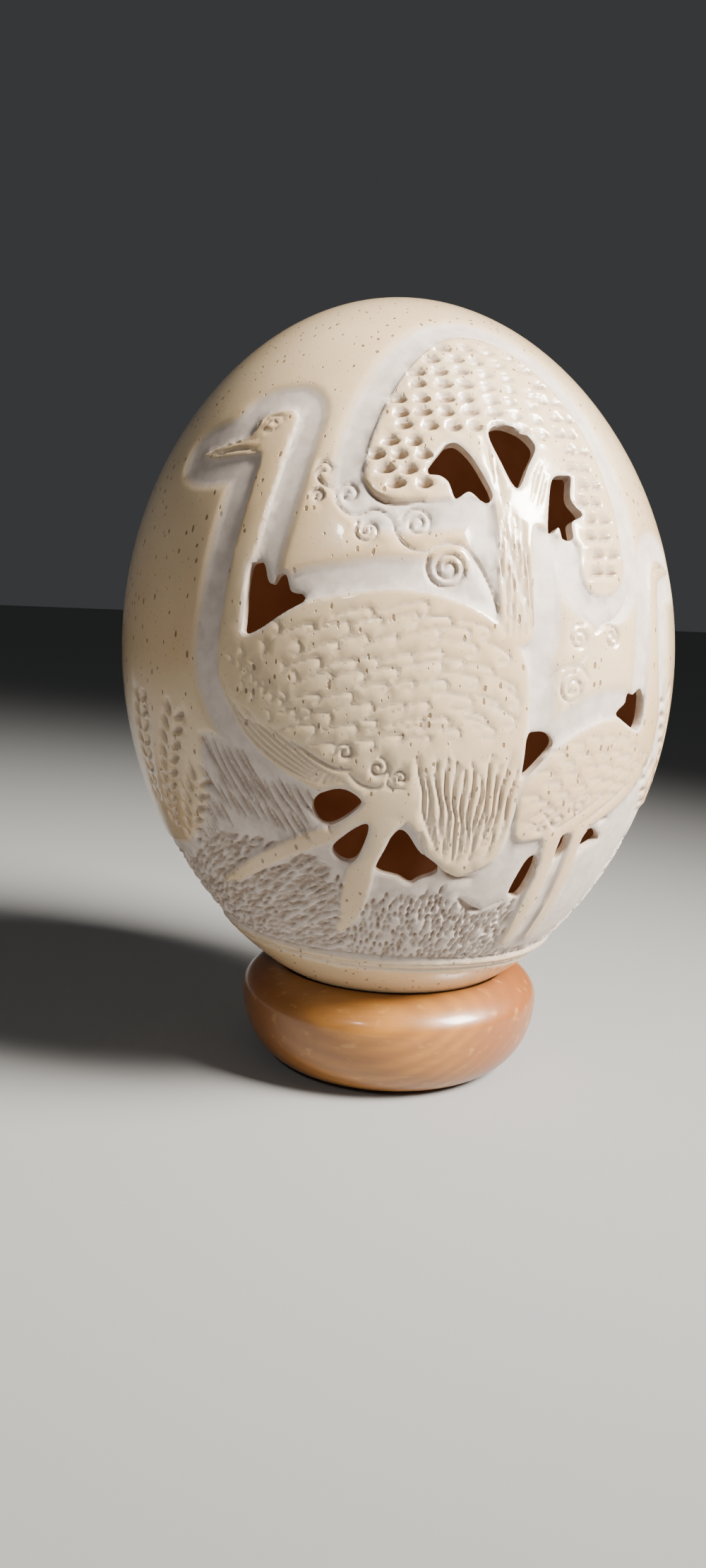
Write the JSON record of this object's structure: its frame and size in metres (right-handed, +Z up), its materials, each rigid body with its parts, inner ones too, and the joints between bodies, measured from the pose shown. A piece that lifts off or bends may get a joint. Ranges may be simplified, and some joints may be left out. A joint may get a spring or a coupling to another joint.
{
  "type": "carved ostrich egg on a turned wooden ring",
  "caption": "Hollow ostrich eggshell carved in low relief and pierced, resting upright in a rounded turned wooden ring.",
  "frame": {"origin": "on the surface the ring stands on, under the middle of the egg", "axes": "+Z up, the egg's long way; -Y is the carved front; +X is to the right as the front is seen"},
  "size_m": [0.1259, 0.126, 0.1751],
  "materials": {
    "eggshell": "naturally glossy cream shell with pores; carved ground is paler and matt",
    "varnished_wood": "satin varnish over turned hardwood"
  },
  "bodies": {
    "root": {"eggshell": "eggshell", "ring_stand": "varnished_wood"}
  },
  "joints": []
}
